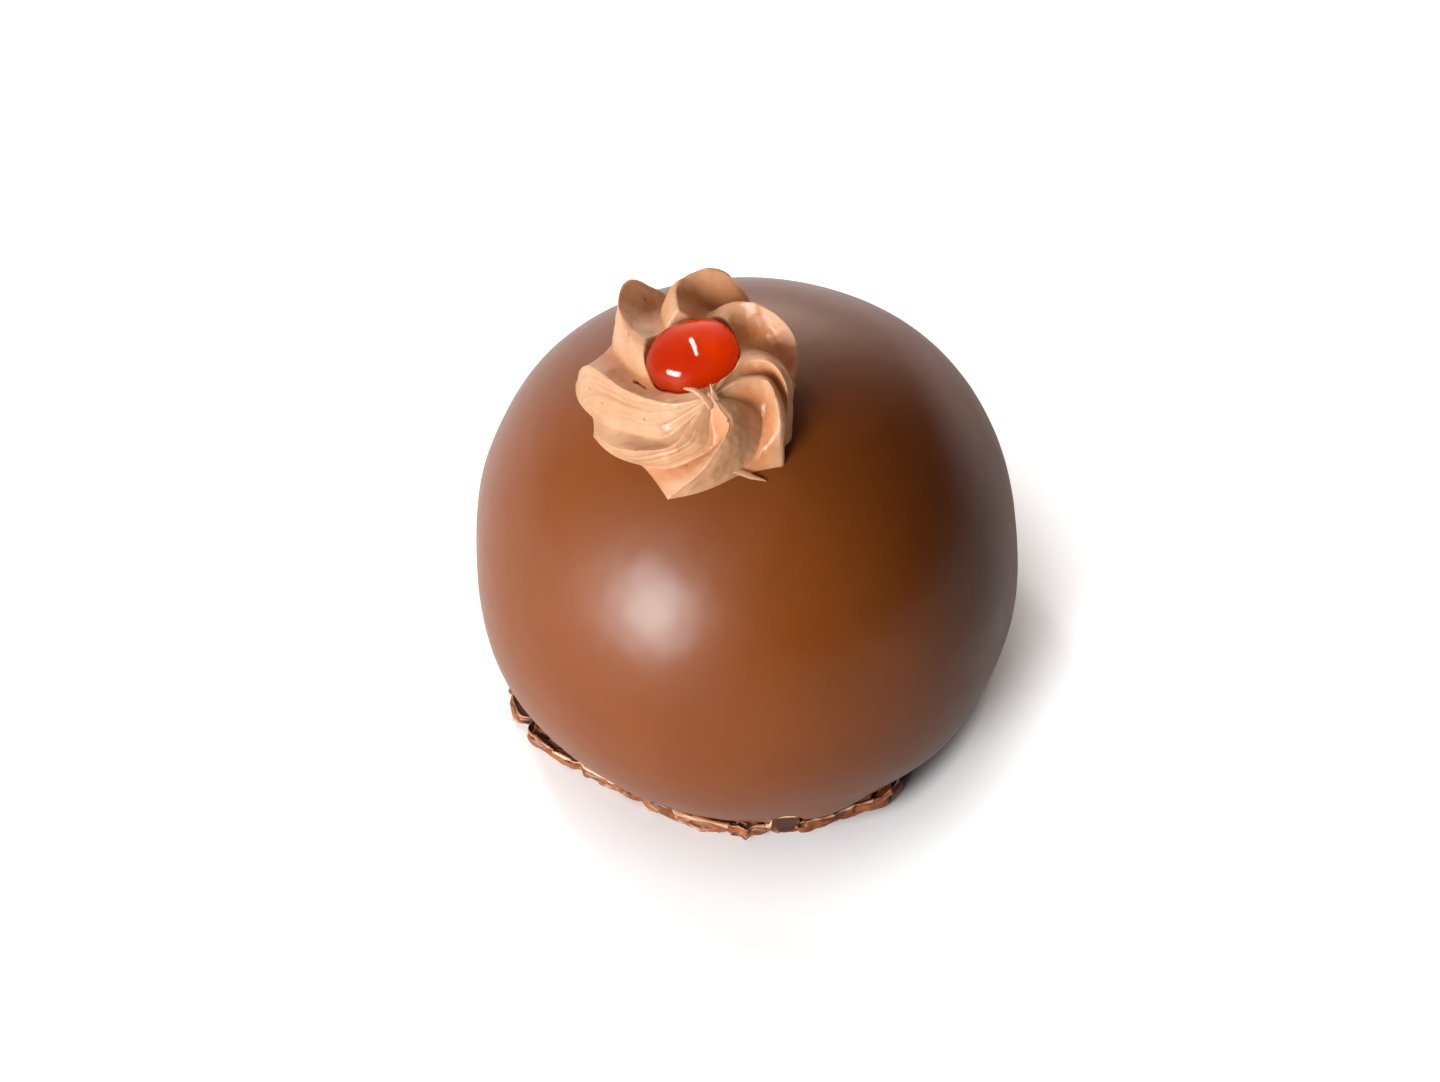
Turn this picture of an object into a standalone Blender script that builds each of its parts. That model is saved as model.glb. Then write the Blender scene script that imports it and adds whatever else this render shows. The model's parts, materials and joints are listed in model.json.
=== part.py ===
"""A glazed chocolate cake ball on a thin, ragged foot, under a piped cream rosette and a piece of jelly.

Frame: metres, +Z up. The origin is on the surface that the foot rests on, under the middle of the ball.
The rosette leans towards -X, and its torn peak is on its -Y side, in front of the jelly.
"""

import math

import bpy
import numpy as np

MM = 0.001
GAP = 0.3 * MM

# The foot: a thin pool of chocolate that set under the base and broke at its edge. It reaches a little
# past the ball's base, and further at its lobes: azimuth and spread in degrees, and how much further.
FOOT_THICKNESS = 2.4 * MM
FOOT_REACH = 27.9 * MM
FOOT_CORE_REACH = 12.0 * MM
FOOT_EDGE_HEIGHT = 0.9 * MM
FOOT_RAGGED_REACH = 0.3 * MM
FOOT_RAGGED_HEIGHT = 0.35 * MM
FOOT_SEGMENTS = 120
FOOT_SEED = 11
FOOT_LOBES = (
    (194, 9, 1.1 * MM),
    (206, 17, 3.6 * MM),
    (268, 18, 1.3 * MM),
    (290, 9, 1.5 * MM),
    (306, 9, 2.3 * MM),
    (338, 18, -1.8 * MM),
    (28, 16, 0.9 * MM),
    (88, 26, 1.4 * MM),
    (145, 17, 2.2 * MM),
)

# The ball: a sphere that has settled, so its middle stands 0.65 of its radius above the table.
BALL_RADIUS = 34.0 * MM
BALL_MIDDLE = np.array([0.0, 0.0, 0.65 * BALL_RADIUS])
BALL_BASE = FOOT_THICKNESS + GAP - BALL_MIDDLE[2]
BALL_BASE_ROUNDING = 1.5 * MM
BALL_SWELL_FADE = 2.5 * MM
BALL_SEGMENTS = 56
BALL_RINGS = 26

# Where the glazed cake stands out from the sphere, or lies inside it: azimuth, elevation and spread
# in degrees, and height.
SWELLS = (
    (142, 23, 17, 0.65 * MM),
    (166, 9, 10, 0.20 * MM),
    (182, 0, 13, -0.35 * MM),
    (206, -17, 16, 0.45 * MM),
    (-39, -24, 18, 1.00 * MM),
    (-12, -8, 12, 0.30 * MM),
    (2, 3, 15, -0.35 * MM),
    (39, 24, 20, 0.30 * MM),
    (86, 35, 24, -0.50 * MM),
    (272, -30, 11, 0.30 * MM),
    (289, -33, 9, 1.00 * MM),
)

# The rosette's axis passes through the ball's middle and leans from the vertical towards an azimuth.
ROSETTE_LEAN = math.radians(12.8)
ROSETTE_BEARING = math.radians(190.0)

# The peak where the front ridges meet: x and y across the rosette's axis, and height above the glaze.
PEAK = (4.6 * MM, -5.3 * MM, 7.0 * MM)

# The eight ridges that the star nozzle left, clockwise from the upper left. A crest runs from the peak
# through an inner, a crown and a shoulder station to its foot on the glaze. A station is distance from
# the axis in mm, azimuth in degrees and height above the glaze in mm. Last comes the valley after the
# crest: its share of the way to the next crest, how deep it is, and how far its foot is drawn in, in mm.
RIDGES = (
    ("back left", (6.2, 130, 7.0), (11.6, 125, 8.5), (14.5, 110, 8.3), (13.2, 90), 0.57, 1.10, 0.8),
    ("back", (7.6, 84, 8.2), (11.6, 83, 9.1), (14.2, 64, 8.4), (13.8, 44), 0.42, 1.20, 0.9),
    ("back right", (8.9, 41, 7.2), (12.4, 34, 8.5), (14.5, 15, 6.3), (12.9, 3), 0.56, 1.05, 0.8),
    ("right", (8.4, -5, 6.8), (11.7, -6, 7.4), (13.5, -16, 5.8), (13.6, -31), 0.46, 0.62, 0.4),
    ("front right", (8.9, -22, 7.0), (11.7, -17, 7.0), (13.9, -31, 5.0), (14.4, -43), 0.36, 1.20, 0.0),
    ("front", (8.6, -51, 6.7), (11.0, -56, 6.1), (12.5, -80, 3.6), (13.1, -102), 0.38, 1.10, 0.9),
    ("front left", (7.5, -76, 5.6), (9.5, -98, 4.3), (10.6, -136, 2.6), (12.1, -167), 0.30, 1.00, 0.7),
    ("left", (5.1, -101, 6.2), (6.5, -166, 5.5), (12.4, 159, 4.4), (15.9, 156), 0.40, 0.95, 0.2),
)

# How far along a crest its peak, stations and foot lie, how much of its height a full valley loses at
# each, and how much of the draw-in of its foot each shows.
KNOTS = np.array([0.0, 0.30, 0.55, 0.78, 1.0])
VALLEY_LOSES = np.array([0.0, 0.22, 0.46, 0.55, 0.0])
VALLEY_DRAWN = np.array([0.0, 0.0, 0.2, 0.6, 1.0])

# How far the full side of a ridge swells out at its foot.
RIDGE_BELLY = 0.6 * MM
ROSETTE_RINGS = 18
RIDGE_PHASES = (0.0, 0.06, 0.14, 0.25, 0.38, 0.50, 0.63, 0.76, 0.88, 0.96)

# The jelly: a round-edged pebble pressed into the cream behind the peak. It bulges at an azimuth and
# with a spread in degrees, by a share of its reach.
JELLY_PLACE = (2.1 * MM, 1.3 * MM, 5.3 * MM)
JELLY_HALF_WIDTH = 5.6 * MM
JELLY_HALF_DEPTH = 5.1 * MM
JELLY_HALF_HEIGHT = 3.2 * MM
JELLY_FULLNESS = 0.9
JELLY_BULGE = (55, 28, 0.07)
JELLY_SEGMENTS = 26
JELLY_RINGS = 12
SEAT_FLARE = 1.6 * MM
SEAT_SHAFT = 7.0 * MM

SHARP_EDGE = math.radians(50.0)


def direction(azimuth, elevation):
    """The unit vector at an azimuth and an elevation, in radians."""
    level = math.cos(elevation)
    return np.array([level * math.cos(azimuth), level * math.sin(azimuth), math.sin(elevation)])


def circle(reach, height, turns):
    """Points round +Z at the angles in turns. Reach and height are one number or one for each angle."""
    return np.stack([reach * np.cos(turns), reach * np.sin(turns), height + 0.0 * turns], axis=1)


def full_turn(count):
    return np.linspace(0.0, 2 * math.pi, count, endpoint=False)


def glaze_swell(rays):
    """How far the glaze lies outside the true sphere, for unit vectors from the ball's middle."""
    total = np.zeros(len(rays))
    for azimuth, elevation, spread, height in SWELLS:
        middle = direction(math.radians(azimuth), math.radians(elevation))
        angle = np.degrees(np.arccos(np.clip(rays @ middle, -1.0, 1.0)))
        total += height * np.exp(-((angle / spread) ** 2))
    return total


def rosette_axes():
    """The rosette's right, away and upward unit vectors, as the rows of a matrix."""
    up = direction(ROSETTE_BEARING, math.pi / 2 - ROSETTE_LEAN)
    right = np.array([1.0, 0.0, 0.0]) - up * up[0]
    right /= np.linalg.norm(right)
    return np.array([right, np.cross(up, right), up])


def above_glaze(points):
    """World points for rows of x and y across the rosette's axis and height above the glaze."""
    x, y, height = np.asarray(points, dtype=float).T
    rise = np.sqrt((BALL_RADIUS + height) ** 2 - x**2 - y**2)
    rays = np.stack([x, y, rise], axis=1) @ rosette_axes()
    rays /= np.linalg.norm(rays, axis=1)[:, None]
    return BALL_MIDDLE + rays * (BALL_RADIUS + glaze_swell(rays) + height)[:, None]


def through(stations, along):
    """A smooth curve through stations at KNOTS, read at the values in along."""
    steps = np.diff(KNOTS)[:, None]
    slopes = np.diff(stations, axis=0) / steps
    tangents = np.empty_like(stations)
    tangents[0], tangents[-1] = slopes[0], slopes[-1]
    tangents[1:-1] = (slopes[:-1] * steps[1:] + slopes[1:] * steps[:-1]) / (steps[:-1] + steps[1:])
    span = np.clip(np.searchsorted(KNOTS, along, side="right") - 1, 0, len(steps) - 1)
    width = steps[span]
    t = (along - KNOTS[span])[:, None] / width
    return (
        stations[span] * (1 + 2 * t) * (1 - t) ** 2
        + tangents[span] * width * t * (1 - t) ** 2
        + stations[span + 1] * t**2 * (3 - 2 * t)
        + tangents[span + 1] * width * t**2 * (t - 1)
    )


def crest_stations(ridge):
    """A crest's peak, stations and foot as x, y and height above the glaze."""
    points = [PEAK]
    for station in ridge[1:5]:
        reach, azimuth = station[0] * MM, math.radians(station[1])
        height = station[2] * MM if len(station) == 3 else GAP
        points.append((reach * math.cos(azimuth), reach * math.sin(azimuth), height))
    return np.array(points)


def valley_stations(crest, following, share, depth, drawn):
    """The valley between a crest and the one that follows it clockwise, in the same five places."""
    points = crest + (following - crest) * share
    points[:, 2] -= (points[:, 2] - GAP) * VALLEY_LOSES * depth
    reach = np.hypot(points[:, 0], points[:, 1])
    points[:, :2] *= (1 - VALLEY_DRAWN * drawn * MM / reach)[:, None]
    return points


def rise_from_valley(phase, share):
    """0 in the valley and 1 on the crests. A hollow side falls from a crest, and a full side
    climbs to the next one."""
    if phase < share:
        return (1 - phase / share) ** 1.6
    return math.sin(0.5 * math.pi * (phase - share) / (1 - share)) ** 0.95


def belly(along, phase, share):
    """How much of RIDGE_BELLY the full side shows: most at the foot, and none on the crests."""
    side = max(0.0, (phase - share) / (1 - share))
    return RIDGE_BELLY * np.clip(2 * along - 1, 0.0, 1.0) * math.sin(math.pi * side)


def rosette_surface(along, phases):
    """The rosette's upper surface as x, y and height: one row for each value along the crests,
    one column for each phase of each ridge, clockwise."""
    crests = [crest_stations(ridge) for ridge in RIDGES]
    columns = []
    for ridge, crest, following in zip(RIDGES, crests, crests[1:] + crests[:1]):
        share, depth, drawn = ridge[5:]
        near, far = through(crest, along), through(following, along)
        low = through(valley_stations(crest, following, share, depth, drawn), along)
        drop = low - near - (far - near) * share
        for phase in phases:
            points = near + (far - near) * phase + drop * (1 - rise_from_valley(phase, share))
            reach = np.hypot(points[:, 0], points[:, 1])
            points[:, :2] *= (1 + belly(along, phase, share) / reach)[:, None]
            columns.append(points)
    return np.stack(columns, axis=1)


def material(name, colour, roughness, transmission=0.0):
    made = bpy.data.materials.new(name)
    made.use_nodes = True
    shader = made.node_tree.nodes["Principled BSDF"]
    shader.inputs["Base Color"].default_value = (*colour, 1.0)
    shader.inputs["Roughness"].default_value = roughness
    shader.inputs["Metallic"].default_value = 0.0
    shader.inputs["Transmission Weight"].default_value = transmission
    return made


def add_skin(name, rings, first, last):
    """An object closed over rings of equal length, from a first pole to a last one.
    Each ring runs counter-clockwise, seen from the first pole."""
    count, rows = len(rings[0]), len(rings)
    vertices = np.concatenate([[first], *rings, [last]])
    end = len(vertices) - 1
    faces = []
    for column in range(count):
        after = (column + 1) % count
        faces.append((0, 1 + column, 1 + after))
        for row in range(rows - 1):
            upper, lower = 1 + row * count, 1 + (row + 1) * count
            faces.append((upper + column, lower + column, lower + after, upper + after))
        bottom = 1 + (rows - 1) * count
        faces.append((bottom + column, end, bottom + after))
    mesh = bpy.data.meshes.new(name)
    mesh.from_pydata(vertices.tolist(), [], faces)
    mesh.shade_smooth()
    mesh.set_sharp_from_angle(angle=SHARP_EDGE)
    made = bpy.data.objects.new(name, mesh)
    bpy.context.scene.collection.objects.link(made)
    return made


def ball_profile():
    """The ball's half section from the top down, as reach and height from its middle: an arc,
    a rounding into the base and a ring on the base."""
    bend = BALL_BASE_ROUNDING
    bend_height = BALL_BASE + bend
    bend_reach = math.sqrt((BALL_RADIUS - bend) ** 2 - bend_height**2)
    meets = math.acos(bend_height / (BALL_RADIUS - bend))
    points = []
    for angle in np.linspace(0.0, meets, BALL_RINGS + 1)[1:]:
        points.append((BALL_RADIUS * math.sin(angle), BALL_RADIUS * math.cos(angle)))
    for angle in np.linspace(meets, math.pi, 4)[1:]:
        points.append((bend_reach + bend * math.sin(angle), bend_height + bend * math.cos(angle)))
    points.append((0.5 * bend_reach, BALL_BASE))
    return points


def build_ball():
    turns = full_turn(BALL_SEGMENTS)
    rings = []
    for reach, height in ball_profile():
        points = circle(reach, height, turns)
        rays = points / math.hypot(reach, height)
        shown = min(1.0, (height - BALL_BASE) / BALL_SWELL_FADE)
        rings.append(BALL_MIDDLE + points + rays * (glaze_swell(rays) * shown)[:, None])
    up = np.array([0.0, 0.0, 1.0])
    top = BALL_MIDDLE + up * (BALL_RADIUS + glaze_swell(up[None])[0])
    return add_skin("ball", rings, top, BALL_MIDDLE + up * BALL_BASE)


def foot_reach(turns):
    """The foot's reach from the ball's axis at the angles in turns."""
    reach = np.full(len(turns), FOOT_REACH)
    for azimuth, spread, more in FOOT_LOBES:
        apart = (np.degrees(turns) - azimuth + 180.0) % 360.0 - 180.0
        reach += more * np.exp(-((apart / spread) ** 2))
    return reach


def build_foot():
    chance = np.random.default_rng(FOOT_SEED)
    turns = full_turn(FOOT_SEGMENTS)
    edge = foot_reach(turns) + FOOT_RAGGED_REACH * chance.uniform(-1.0, 1.0, FOOT_SEGMENTS)
    lift = FOOT_RAGGED_HEIGHT * chance.uniform(-1.0, 1.0, FOOT_SEGMENTS)
    rings = [
        circle(FOOT_CORE_REACH, FOOT_THICKNESS, turns),
        circle(FOOT_REACH - 3.5 * MM, FOOT_THICKNESS, turns),
        circle(edge - 1.6 * MM, FOOT_THICKNESS - 0.35 * MM + 0.5 * lift, turns),
        circle(edge - 0.5 * MM, FOOT_THICKNESS - 0.5 * MM + lift, turns),
        circle(edge, FOOT_EDGE_HEIGHT + lift, turns),
        circle(edge - 0.5 * MM, 0.0, turns),
        circle(FOOT_REACH - 5.0 * MM, 0.0, turns),
        circle(FOOT_CORE_REACH, 0.0, turns),
    ]
    return add_skin("foot", rings, (0.0, 0.0, FOOT_THICKNESS), (0.0, 0.0, 0.0))


def build_rosette():
    """The cream: its ridged surface, then an underside that follows the glaze."""
    along = np.linspace(0.0, 1.0, ROSETTE_RINGS + 1)[1:]
    surface = rosette_surface(along, RIDGE_PHASES)[:, ::-1]
    surface[:, :, 2] = np.maximum(surface[:, :, 2], GAP)
    rings = [above_glaze(row) for row in surface]
    for share in (0.75, 0.5, 0.25):
        rings.append(above_glaze(surface[-1] * (share, share, 1.0)))
    peak, under = above_glaze([PEAK, (0.0, 0.0, GAP)])
    rosette = add_skin("rosette", rings, peak, under)
    seat = rosette.modifiers.new("jelly seat", "BOOLEAN")
    seat.operation = "DIFFERENCE"
    seat.solver = "EXACT"
    seat.object = build_seat_cutter()
    return rosette


def jelly_outline(turns):
    """The pebble's reach at the angles in turns: an ellipse with a bulge at the back right."""
    azimuth, spread, more = JELLY_BULGE
    apart = (np.degrees(turns) - azimuth + 180.0) % 360.0 - 180.0
    ellipse = 1 / np.hypot(np.cos(turns) / JELLY_HALF_WIDTH, np.sin(turns) / JELLY_HALF_DEPTH)
    return ellipse * (1 + more * np.exp(-((apart / spread) ** 2)))


def jelly_rings(first, grown):
    """The pebble's rings from the first one down, grown by a clearance, round the rosette's upward axis."""
    turns = full_turn(JELLY_SEGMENTS)
    middle = above_glaze([JELLY_PLACE])[0]
    rings = []
    for ring in range(first, JELLY_RINGS):
        angle = math.pi * ring / JELLY_RINGS
        reach = (jelly_outline(turns) + grown) * math.sin(angle) ** JELLY_FULLNESS
        height = (JELLY_HALF_HEIGHT + grown) * math.cos(angle)
        rings.append(middle + circle(reach, height, turns) @ rosette_axes())
    return middle, rings


def build_seat_cutter():
    """The pebble's lower half, grown by the gap, and a flared shaft that clears the cream over it."""
    up = rosette_axes()[2]
    middle, rings = jelly_rings(JELLY_RINGS // 2, GAP)
    turns = full_turn(JELLY_SEGMENTS)
    mouth = circle(jelly_outline(turns) + GAP + SEAT_FLARE, SEAT_SHAFT, turns)
    rings.insert(0, middle + mouth @ rosette_axes())
    bottom = middle - up * (JELLY_HALF_HEIGHT + GAP)
    cutter = add_skin("seat_cutter", rings, middle + up * SEAT_SHAFT, bottom)
    cutter.hide_render = True
    cutter.display_type = "WIRE"
    return cutter


def build_jelly():
    middle, rings = jelly_rings(1, 0.0)
    up = rosette_axes()[2] * JELLY_HALF_HEIGHT
    return add_skin("jelly", rings, middle + up, middle - up)


def main():
    for old in list(bpy.data.objects):
        bpy.data.objects.remove(old)
    glaze = material("milk chocolate glaze", (0.215, 0.060, 0.018), 0.38)
    broken = material("broken milk chocolate", (0.26, 0.09, 0.035), 0.55)
    cream = material("chocolate cream", (0.72, 0.38, 0.20), 0.45)
    jelly = material("red jelly", (0.62, 0.03, 0.004), 0.08, transmission=0.4)
    build_foot().data.materials.append(broken)
    build_ball().data.materials.append(glaze)
    build_rosette().data.materials.append(cream)
    build_jelly().data.materials.append(jelly)


main()
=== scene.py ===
"""The looks of a glazed chocolate cake ball with a piped cream rosette and a piece of red jelly.

Units are metres. The ball, foot, rosette and jelly of the frame are each replaced by a finer piece of the
same form, made from the same named sizes. Lengths in the tables are in mm and angles in degrees.
"""

import json
import math

import bpy
import numpy as np
from mathutils import Matrix, Vector

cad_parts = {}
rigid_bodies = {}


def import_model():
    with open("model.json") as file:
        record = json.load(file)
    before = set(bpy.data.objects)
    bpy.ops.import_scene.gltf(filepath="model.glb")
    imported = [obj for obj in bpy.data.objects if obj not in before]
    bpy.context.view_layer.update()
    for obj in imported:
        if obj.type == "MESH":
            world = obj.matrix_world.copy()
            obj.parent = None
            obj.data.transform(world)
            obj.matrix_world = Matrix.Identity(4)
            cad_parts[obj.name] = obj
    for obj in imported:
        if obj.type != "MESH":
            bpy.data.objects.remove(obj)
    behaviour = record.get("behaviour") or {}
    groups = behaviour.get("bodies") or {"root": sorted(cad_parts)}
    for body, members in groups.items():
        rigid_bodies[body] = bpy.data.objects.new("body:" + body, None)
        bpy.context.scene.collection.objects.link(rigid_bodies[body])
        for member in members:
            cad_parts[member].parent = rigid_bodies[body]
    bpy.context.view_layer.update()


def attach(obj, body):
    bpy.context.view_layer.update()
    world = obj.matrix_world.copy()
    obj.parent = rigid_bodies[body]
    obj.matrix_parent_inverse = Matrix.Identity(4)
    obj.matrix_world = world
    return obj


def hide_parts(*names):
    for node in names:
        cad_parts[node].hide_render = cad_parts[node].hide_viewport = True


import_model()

MM = 0.001

# The ball, as in the frame: a settled sphere whose middle stands 0.65 of its radius above the table.
BALL_RADIUS = 34.0 * MM
BALL_MIDDLE = np.array([0.0, 0.0, 0.65 * BALL_RADIUS])
FOOT_THICKNESS = 2.4 * MM
BALL_BASE = FOOT_THICKNESS - BALL_MIDDLE[2]
BALL_BASE_ROUNDING = 1.5 * MM
BALL_SWELL_FADE = 2.5 * MM
BALL_SEGMENTS = 288
BALL_RINGS = 150

# Swells and flats of the glaze: azimuth, elevation, spread in degrees and height.
SWELLS = (
    (142, 23, 17, 0.65),
    (166, 9, 10, 0.20),
    (182, 0, 13, -0.35),
    (206, -17, 16, 0.45),
    (-39, -24, 18, 1.00),
    (-12, -8, 12, 0.30),
    (2, 3, 15, -0.35),
    (39, 24, 20, 0.30),
    (86, 35, 24, -0.50),
    (272, -30, 11, 0.30),
    (289, -33, 9, 1.00),
)

# The foot, as in the frame: a thin pool of set chocolate that broke at its edge. Its outline has
# lobes: azimuth, spread in degrees and more reach.
FOOT_REACH = 27.9 * MM
FOOT_LOBES = (
    (194, 9, 1.1),
    (206, 17, 3.6),
    (268, 18, 1.3),
    (290, 9, 1.5),
    (306, 9, 2.3),
    (338, 18, -1.8),
    (28, 16, 0.9),
    (88, 26, 1.4),
    (145, 17, 2.2),
)

# Small breaks of the foot's edge: azimuth, spread in degrees and more reach. Then bits that differ from
# the rest: azimuth, spread, lowest and highest point and shade. Other shades run from 0 to 1.
FOOT_NICKS = (
    (196, 1.0, -0.7),
    (205.5, 1.3, -1.3),
    (223, 1.1, -0.5),
    (241, 0.9, -0.3),
    (270, 1.0, 0.6),
    (287, 1.1, -0.2),
)
# The bit at the dent is painted shade: a deep brown that darkens the foot's wall in the recess under the
# dented glaze.
SHADED_BIT, CREAMY = 2.0, 3.0
FOOT_BITS = ((279.6, 3.3, 0.3, 4.2, SHADED_BIT), (275.4, 0.8, 1.5, 2.9, CREAMY))

# The broken edge: thickness and mean reach, and the size of its skin, chips and painted lip highlight.
FOOT_TOP = FOOT_THICKNESS / MM
FOOT_MEAN_REACH = 28.0
FOOT_CORE_REACH = 12.0 * MM
FOOT_COLUMNS = 1400
FOOT_ROWS = 64
CHIP_LENGTH = 2.3
CHIP_WIDTH = 0.9
CHIP_PROUD = 0.5
CHIPS_ABOVE_LIP = 3.0
HOLLOW_DEPTH = 0.7
LIP_HIGHLIGHT_WIDTH = 0.14

# Which corners of the foot's section, counted from 0, lie at the glaze and on the lip.
GLAZE_CORNER = 1
LIP_CORNER = 4

# The glaze is dented at one place, where the foot's wall stands higher and hides the dent's lower end.
DENT_AZIMUTH = 279.6
DENT_SPREAD = 3.5
DENT_DEPTH = 0.9 * MM
DENT_HEIGHT = 4.5
DENT_WALL_RISE = 1.5

# The rosette, as in the frame. A ridge has a name, an inner, a crown and a shoulder station and a foot:
# distance from the rosette's axis, azimuth and height above the glaze. Last comes the valley after it: its
# share, depth and draw-in, how streaky its full side is and how golden its painted hollow shade is.
ROSETTE_LEAN = math.radians(12.8)
ROSETTE_BEARING = math.radians(190.0)
PEAK = (4.6, -5.3, 7.0)
RIDGES = (
    (
        "back left",
        (6.2, 130, 7.0),
        (11.6, 125, 8.5),
        (14.5, 110, 8.3),
        (13.2, 90),
        (0.57, 1.10, 0.8, 0.3, 0.7),
    ),
    (
        "back",
        (7.6, 84, 8.2),
        (11.6, 83, 9.1),
        (14.2, 64, 8.4),
        (13.8, 44),
        (0.42, 1.20, 0.9, 0.3, 0.9),
    ),
    (
        "back right",
        (8.9, 41, 7.2),
        (12.4, 34, 8.5),
        (14.5, 15, 6.3),
        (12.9, 3),
        (0.56, 1.05, 0.8, 0.4, 1.1),
    ),
    (
        "right",
        (8.4, -5, 6.8),
        (11.7, -6, 7.4),
        (13.5, -16, 5.8),
        (13.6, -31),
        (0.46, 0.62, 0.4, 0.4, 1.1),
    ),
    (
        "front right",
        (8.9, -22, 7.0),
        (11.7, -17, 7.0),
        (13.9, -31, 5.0),
        (14.4, -43),
        (0.36, 1.20, 0.0, 0.4, 0.9),
    ),
    (
        "front",
        (8.6, -51, 6.7),
        (11.0, -56, 6.1),
        (12.5, -80, 3.6),
        (13.1, -102),
        (0.38, 1.10, 0.9, 1.6, 0.8),
    ),
    (
        "front left",
        (7.5, -76, 5.6),
        (9.5, -98, 4.3),
        (10.6, -136, 2.6),
        (12.1, -167),
        (0.30, 1.00, 0.7, 2.6, 0.25),
    ),
    (
        "left",
        (5.1, -101, 6.2),
        (6.5, -166, 5.5),
        (12.4, 159, 4.4),
        (15.9, 156),
        (0.40, 0.95, 0.2, 0.4, 1.1),
    ),
)

# Five places along a ridge, from the peak to its foot: how far along they lie, how much of its height a
# valley loses there and how far it is drawn in towards the axis.
KNOTS = np.array([0.0, 0.30, 0.55, 0.78, 1.0])
VALLEY_LOSES = np.array([0.0, 0.22, 0.46, 0.55, 0.0])
VALLEY_DRAWN = np.array([0.0, 0.0, 0.2, 0.6, 1.0])
RIDGE_BELLY = 0.6
ROSETTE_RINGS = 170
RIDGE_COLUMNS = 46
GROOVES = 9
GROOVE_SEED = 40
PEAK_RISE = 0.7

# Small things on the rosette, at places across its axis: torn tongues as a spine with heights, half
# widths and a half thickness; a thin crack; dark specks; and wet spots as a line and its half width.
TONGUES = (
    (
        ((4.6, -6.0, 6.3), (3.8, -5.3, 7.3), (2.7, -4.7, 7.7), (1.5, -4.2, 7.5)),
        (0.70, 0.48, 0.30, 0.10),
        0.34,
    ),
    (
        ((5.2, -6.0, 6.3), (5.0, -5.3, 7.4), (4.75, -4.4, 8.2)),
        (0.48, 0.34, 0.08),
        0.26,
    ),
    (
        ((5.6, -10.6, 0.9), (7.4, -11.2, 0.45), (9.1, -11.5, 0.12)),
        (0.45, 0.34, 0.05),
        0.12,
    ),
)
TONGUE_SEED = 70
TONGUE_RINGS = 26
TONGUE_SIDES = 14
CRACK = (-5.25, 0.20), (-3.70, -1.55)
CRACK_HALF_WIDTH = 0.09
CRACK_OPENING = (-5.25, 0.20), (-5.0, -0.05)
CRACK_OPENING_HALF_WIDTH = 0.17
SPECKS = (
    (-11.4, 1.75),
    (-4.2, -5.1),
    (-4.1, 11.65),
    (-5.5, 5.1),
    (-2.6, 10.4),
    (-9.7, -0.9),
    (8.0, 8.6),
    (0.2, -10.3),
    (6.3, -8.1),
    (-6.8, 3.4),
)
SPECK_LENGTH = 0.05
SPECK_HALF_WIDTH = 0.10
WET_SPOTS = (
    ((11.2, 4.5), (11.5, 3.3), 0.55),
    ((9.6, 4.3), (9.0, 4.5), 0.20),
    ((10.1, -4.2), (9.7, -5.3), 0.20),
    ((9.2, -9.1), (10.6, -8.2), 0.60),
    ((5.9, -7.5), (6.3, -8.6), 0.20),
    ((-2.2, -6.2), (-1.2, -6.9), 0.40),
    ((-1.4, -5.0), (0.6, -5.6), 0.22),
    ((-1.5, -9.5), (-0.3, -9.4), 0.25),
    ((2.5, -9.4), (3.6, -8.9), 0.20),
)

# The jelly, as in the frame: a pebble pressed into the cream behind the peak. Its bulge has an azimuth,
# a spread in degrees and a share of the reach.
JELLY_PLACE = (2.1, 1.3, 5.3)
JELLY_HALF_WIDTH = 5.6 * MM
JELLY_HALF_DEPTH = 5.1 * MM
JELLY_HALF_HEIGHT = 3.2 * MM
JELLY_FULLNESS = 0.9
JELLY_BULGE = (55, 28, 0.07)
JELLY_SEGMENTS = 160
JELLY_RINGS = 90

# The photograph's camera: how far it looks down, how far it stands from the ball's middle, its lens,
# and how far the ball's middle lies to the right of the picture's middle and below it.
CAMERA_ELEVATION = math.radians(55.0)
CAMERA_DISTANCE = 549.2 * MM
CAMERA_LENS = 110.0
CAMERA_SENSOR = 36.0
BALL_RIGHT = 3.32 * MM
BALL_BELOW = 0.62 * MM

# The studio's sky as soft patches of light: azimuth, elevation, brightness, tightness and tint.
WHITE = (1.0, 1.0, 1.0)
WARM = (1.0, 0.86, 0.77)
SKY = (
    (88, 6, 2.9, 12, WARM),
    (120, 6, 1.1, 10, WARM),
    (90, 30, 1.45, 11, WARM),
    (150, 30, 0.3, 10, WARM),
    (210, 6, 2.0, 10, WHITE),
    (225, 55, 0.5, 10, WHITE),
    (228, 19, 3.2, 18, WHITE),
)

# The lights: direction from the ball, direction of the length, length and width in m, and brightness.
KEY = (-0.600, -0.725, 0.33)
KEY_RUN = (0.77, -0.64, 0.0)
STRIP_RUN = (0.108, -0.482, 0.237)
LIGHTS = {
    "key_softbox": (KEY, KEY_RUN, 0.80, 0.80, 5.4),
    "key_middle": (KEY, KEY_RUN, 0.62, 0.62, 17.4),
    "back_strip": ((-0.35, 0.49, 0.80), STRIP_RUN, 0.46, 0.12, 22.0),
    "jelly_bar": ((-0.741, -0.371, 0.56), (0.327, -0.295, 0.266), 0.72, 0.38, 90.0),
    "jelly_strip": ((-0.251, 0.407, 0.878), STRIP_RUN, 0.85, 0.10, 95.0),
    "jelly_soft": ((0.25, -0.30, 0.92), KEY_RUN, 0.90, 0.90, 13.0),
    "rosette_fill": ((0.60, -0.50, 0.62), (0.64, 0.77, 0.0), 0.90, 0.90, 2.2),
}
FILL_TINT = (1.0, 0.78, 0.60)
LIGHT_DISTANCE = 1.6
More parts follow.
